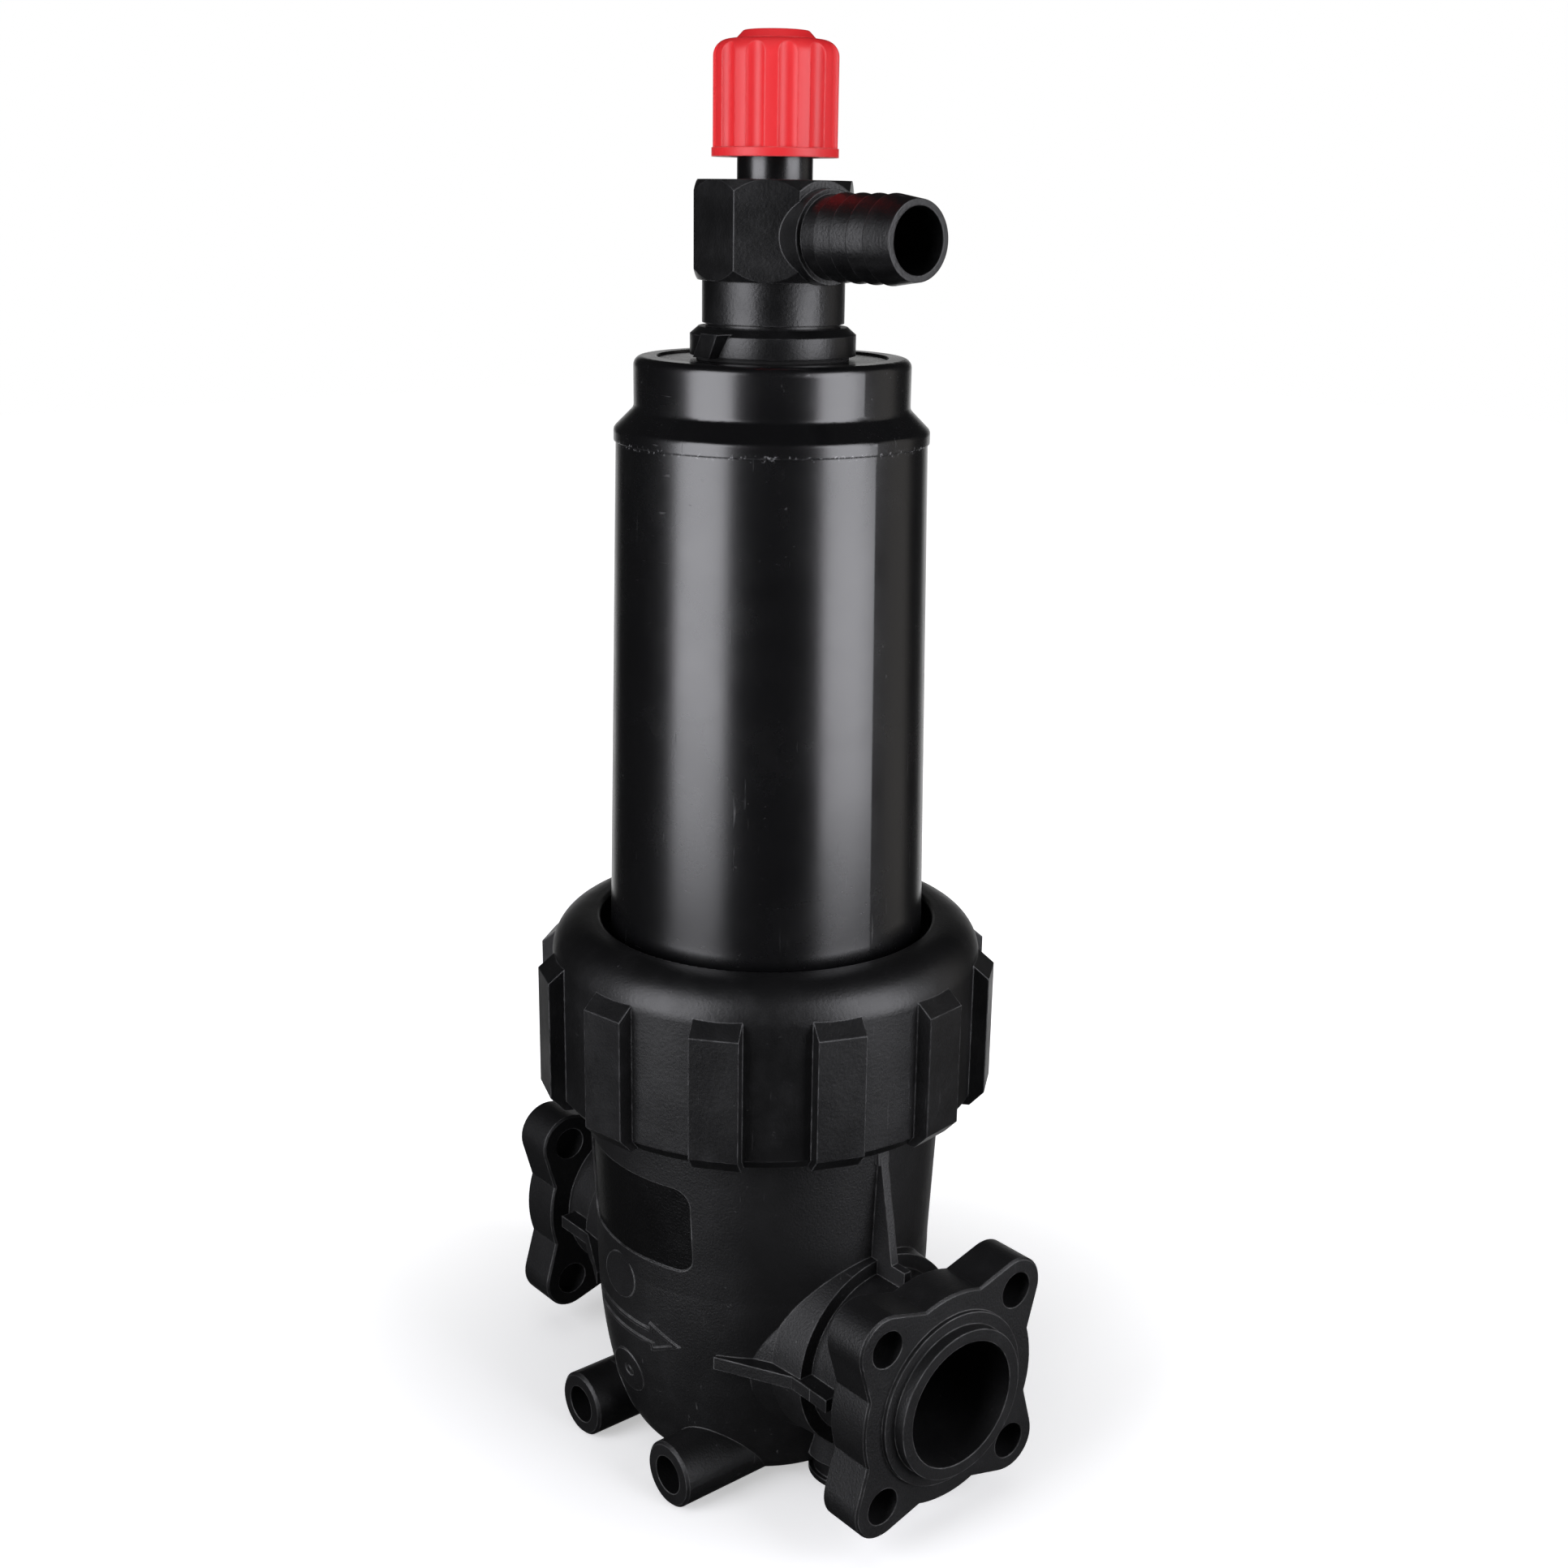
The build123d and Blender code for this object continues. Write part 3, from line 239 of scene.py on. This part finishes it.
head_look = moulded(
    "head_look",
    BLACK,
    roughness=0.50,
    haze=0.14,
    haze_color=GREY,
    grain=0.00011,
    grain_size=0.0007,
    edge=0.55,
    edge_color=(0.26, 0.26, 0.26),
    specular=0.62,
    gloss_area=PANEL_AREA,
)
nut_look = moulded(
    "nut_look",
    BLACK,
    roughness=0.39,
    haze=0.12,
    haze_size=0.018,
    haze_color=GREY,
    grain=0.00005,
    edge=0.50,
    edge_color=(0.22, 0.22, 0.225),
    specular=0.65,
)
bowl_look = moulded(
    "bowl_look",
    (0.0022, 0.0022, 0.0026),
    roughness=0.25,
    spread=0.05,
    haze=0.04,
    haze_color=GREY,
    grain=0.000006,
    ripple=0.000006,
    scratches=0.22,
    edge=0.30,
    specular=0.95,
    seam=BOWL_SEAM_LEVEL,
)
valve_look = moulded(
    "valve_look",
    BLACK,
    roughness=0.34,
    haze=0.12,
    haze_size=0.014,
    haze_color=GREY,
    edge=0.35,
    edge_radius=0.0005,
    specular=0.6,
)
bonnet_look = moulded(
    "bonnet_look",
    (0.0025, 0.0025, 0.0028),
    roughness=0.24,
    haze=0.05,
    haze_size=0.014,
    haze_color=GREY,
    grain=0.00001,
    edge=0.25,
    specular=0.9,
)
plug_look = moulded(
    "plug_look",
    BLACK,
    roughness=0.42,
    haze=0.12,
    haze_size=0.012,
    haze_color=GREY,
    edge=0.30,
)
knob_look = moulded(
    "knob_look",
    (0.74, 0.022, 0.027),
    roughness=0.42,
    spread=0.06,
    haze=0.05,
    haze_size=0.012,
    haze_color=(0.90, 0.22, 0.20),
    grain=0.00001,
    scratches=0.06,
    edge=0.22,
    edge_color=(0.95, 0.42, 0.38),
    specular=0.5,
)
seal_look = moulded(
    "seal_look",
    (0.012, 0.012, 0.012),
    roughness=0.62,
    haze=0.10,
    haze_size=0.01,
    edge=0.1,
)
cage_look = moulded(
    "cage_look",
    (0.62, 0.63, 0.61),
    roughness=0.45,
    haze=0.1,
    haze_color=(0.5, 0.5, 0.46),
    scratches=0.05,
    edge=0.1,
    edge_color=(0.75, 0.75, 0.73),
)
shutter_look = moulded(
    "shutter_look",
    (0.58, 0.57, 0.53),
    roughness=0.4,
    haze=0.1,
    haze_color=(0.45, 0.44, 0.40),
    scratches=0.05,
    edge=0.1,
    edge_color=(0.7, 0.7, 0.68),
)


METAL_RING_SPREAD = 40.0
METAL_MOTTLE_SCALE = 300.0
METAL_MOTTLE_BAND = (0.35, 0.75)
METAL_RING_BAND = (0.3, 0.7)
METAL_RING_DEPTH = 0.00003
METAL_SHADE = 0.72
METAL_SMOOTHER = 0.08
METAL_ROUGHER = 0.12


def metal(name, color, roughness, turned_size):
    """Turned or woven metal with fine rings or wires and a mottled sheen."""
    material = bpy.data.materials.new(name)
    material.use_nodes = True
    n = Nodes(material.node_tree)
    place = n.add("ShaderNodeTexCoord").outputs["Object"]
    ring_scale = (METAL_RING_SPREAD, METAL_RING_SPREAD, 1.0 / turned_size)
    rings = n.noise(n.stretch(place, ring_scale), 1.0)
    mottle = n.noise(place, METAL_MOTTLE_SCALE, detail=4.0)
    bump = n.add("ShaderNodeBump")
    bump.inputs["Distance"].default_value = METAL_RING_DEPTH
    n.put(bump.inputs["Height"], rings)
    shader = n.add("ShaderNodeBsdfPrincipled")
    dark = tuple(METAL_SHADE * c for c in color)
    tint = n.mix(n.step(mottle, *METAL_MOTTLE_BAND), rgba(color), rgba(dark))
    rough = n.step(rings, *METAL_RING_BAND, roughness - METAL_SMOOTHER, roughness + METAL_ROUGHER)
    n.put(shader.inputs["Base Color"], tint)
    n.put(shader.inputs["Roughness"], rough)
    n.put(shader.inputs["Normal"], bump.outputs["Normal"])
    shader.inputs["Metallic"].default_value = 1.0
    output = n.add("ShaderNodeOutputMaterial")
    n.put(output.inputs["Surface"], shader.outputs["BSDF"])
    return material


brass_look = metal("brass_look", (0.78, 0.58, 0.28), 0.28, 0.0004)
steel_look = metal("steel_look", (0.62, 0.62, 0.63), 0.30, 0.0003)
screen_look = metal("screen_look", (0.50, 0.50, 0.51), 0.38, 0.0005)

LOOKS = {
    "filter_head": head_look,
    "gauge_plug": plug_look,
    "ring_nut": nut_look,
    "bowl": bowl_look,
    "valve_lock_ring": valve_look,
    "valve_body": valve_look,
    "valve_bonnet": bonnet_look,
    "knob": knob_look,
    "knob_cap": knob_look,
    "gauge_plug_seal": seal_look,
    "bowl_seal": seal_look,
    "cartridge_lower_seal": seal_look,
    "cartridge_upper_seal": seal_look,
    "valve_gasket": seal_look,
    "bonnet_seal": seal_look,
    "spindle_seal": seal_look,
    "plunger_seal": seal_look,
    "cartridge_cage": cage_look,
    "cartridge_screen": screen_look,
    "spindle": brass_look,
    "valve_plunger": shutter_look,
    "knob_screw": steel_look,
}
for node_name, look in LOOKS.items():
    node_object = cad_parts[node_name]
    for slot in node_object.material_slots:
        slot.material = look


FLOOR_HALF = 3.0
FLOOR_TINTS = ((0.86, 0.86, 0.86, 1.0), (0.88, 0.88, 0.88, 1.0))
FLOOR_TINT_SCALE = 8.0
FLOOR_GLOW_REACH = (0.06, 0.30)
FLOOR_GLOW = (0.45, 1.0)


def stage_floor():
    """Pale floor that turns plain white away from the object and keeps its shadow."""
    mesh = bpy.data.meshes.new("floor")
    sides = ((-1, -1), (1, -1), (1, 1), (-1, 1))
    corners = [(x * FLOOR_HALF, y * FLOOR_HALF, 0.0) for x, y in sides]
    mesh.from_pydata(corners, [], [(0, 1, 2, 3)])
    floor = bpy.data.objects.new("floor", mesh)
    scene.collection.objects.link(floor)
    material = bpy.data.materials.new("floor_look")
    material.use_nodes = True
    n = Nodes(material.node_tree)
    place = n.add("ShaderNodeTexCoord").outputs["Object"]
    tint = n.mix(n.noise(place, FLOOR_TINT_SCALE), *FLOOR_TINTS)
    diffuse = n.add("ShaderNodeBsdfDiffuse")
    n.put(diffuse.inputs["Color"], tint)
    distance = n.add("ShaderNodeVectorMath", operation="LENGTH")
    n.put(distance.inputs[0], place)
    away = n.step(distance.outputs["Value"], *FLOOR_GLOW_REACH, *FLOOR_GLOW)
    camera_ray = n.add("ShaderNodeLightPath").outputs["Is Camera Ray"]
    glow = n.add("ShaderNodeEmission")
    n.put(glow.inputs["Strength"], n.math("MULTIPLY", camera_ray, away))
    both = n.add("ShaderNodeAddShader")
    n.put(both.inputs[0], diffuse.outputs["BSDF"])
    n.put(both.inputs[1], glow.outputs["Emission"])
    output = n.add("ShaderNodeOutputMaterial")
    n.put(output.inputs["Surface"], both.outputs["Shader"])
    mesh.materials.append(material)
    return floor


floor = stage_floor()
floor.visible_glossy = False


def soft_box(name, azimuth, distance, low, high, width, radiance, color):
    """Upright rectangular lamp between two levels at an azimuth from the filter's axis, facing it."""
    data = bpy.data.lights.new(name, "AREA")
    data.shape = "RECTANGLE"
    data.size = width
    data.size_y = high - low
    data.energy = radiance * math.pi * width * (high - low)
    data.color = color
    lamp = bpy.data.objects.new(name, data)
    angle = math.radians(azimuth)
    place = Vector((distance * math.cos(angle), distance * math.sin(angle), (low + high) / 2))
    toward = Vector((-place.x, -place.y, 0.0))
    lamp.matrix_world = Matrix.Translation(place) @ toward.to_track_quat("-Z", "Y").to_matrix().to_4x4()
    lamp.visible_camera = False
    scene.collection.objects.link(lamp)


COOL = (0.975, 0.975, 1.03)
WARM = (1.0, 0.95, 0.90)

# Name, azimuth, distance, low and high level, width, radiance, color
LAMPS = (
    ("box_left", -90.0, 0.95, -0.08, 1.10, 0.68, 4.2, COOL),
    ("box_right", 17.5, 0.95, -0.08, 1.10, 0.66, 4.1, COOL),
    ("card_right", 65.0, 1.2, -0.3, 1.0, 0.6, 0.30, WARM),
)
for lamp_row in LAMPS:
    soft_box(*lamp_row)

TOP_SIZE = 1.2
TOP_RADIANCE = 1.0
TOP_PLACE = (0.25, -0.25, 1.6)
top_data = bpy.data.lights.new("top_light", "AREA")
top_data.size = TOP_SIZE
top_data.energy = TOP_RADIANCE * math.pi * TOP_SIZE**2
top_light = bpy.data.objects.new("top_light", top_data)
top_light.matrix_world = Matrix.Translation(TOP_PLACE)
top_light.visible_glossy = False
top_light.visible_camera = False
scene.collection.objects.link(top_light)

STUDIO_STRENGTH = 0.018
BACKDROP_STRENGTH = 1.0

world = bpy.data.worlds.new("world")
scene.world = world
world.use_nodes = True
w = Nodes(world.node_tree)
rays = w.add("ShaderNodeLightPath")
seen = w.math("MAXIMUM", rays.outputs["Is Camera Ray"], rays.outputs["Is Transmission Ray"])

# Glossy rays meet the white backdrop where it stands, behind the object, and the dark studio elsewhere
BACKDROP_AZIMUTH = math.radians(140.25)
BACKDROP_PITCH = math.radians(-18.0)
BACKDROP_HALF_ANGLE = math.radians(20.0)
BACKDROP_FADE = math.radians(12.0)
toward_backdrop = w.add("ShaderNodeVectorMath", operation="DOT_PRODUCT")
w.put(toward_backdrop.inputs[0], w.add("ShaderNodeTexCoord").outputs["Generated"])
toward_backdrop.inputs[1].default_value = (
    math.cos(BACKDROP_AZIMUTH) * math.cos(BACKDROP_PITCH),
    math.sin(BACKDROP_AZIMUTH) * math.cos(BACKDROP_PITCH),
    math.sin(BACKDROP_PITCH),
)
backdrop = w.step(
    toward_backdrop.outputs["Value"],
    math.cos(BACKDROP_HALF_ANGLE + BACKDROP_FADE),
    math.cos(BACKDROP_HALF_ANGLE),
)
seen = w.math("MAXIMUM", seen, w.math("MULTIPLY", rays.outputs["Is Glossy Ray"], backdrop))
shade = w.add("ShaderNodeMapRange")
w.put(shade.inputs["Value"], seen)
shade.inputs["To Min"].default_value = STUDIO_STRENGTH
shade.inputs["To Max"].default_value = BACKDROP_STRENGTH
background = w.add("ShaderNodeBackground")
background.inputs["Color"].default_value = (1.0, 1.0, 1.0, 1.0)
w.put(background.inputs["Strength"], shade.outputs["Result"])
world_output = w.add("ShaderNodeOutputWorld")
w.put(world_output.inputs["Surface"], background.outputs["Background"])
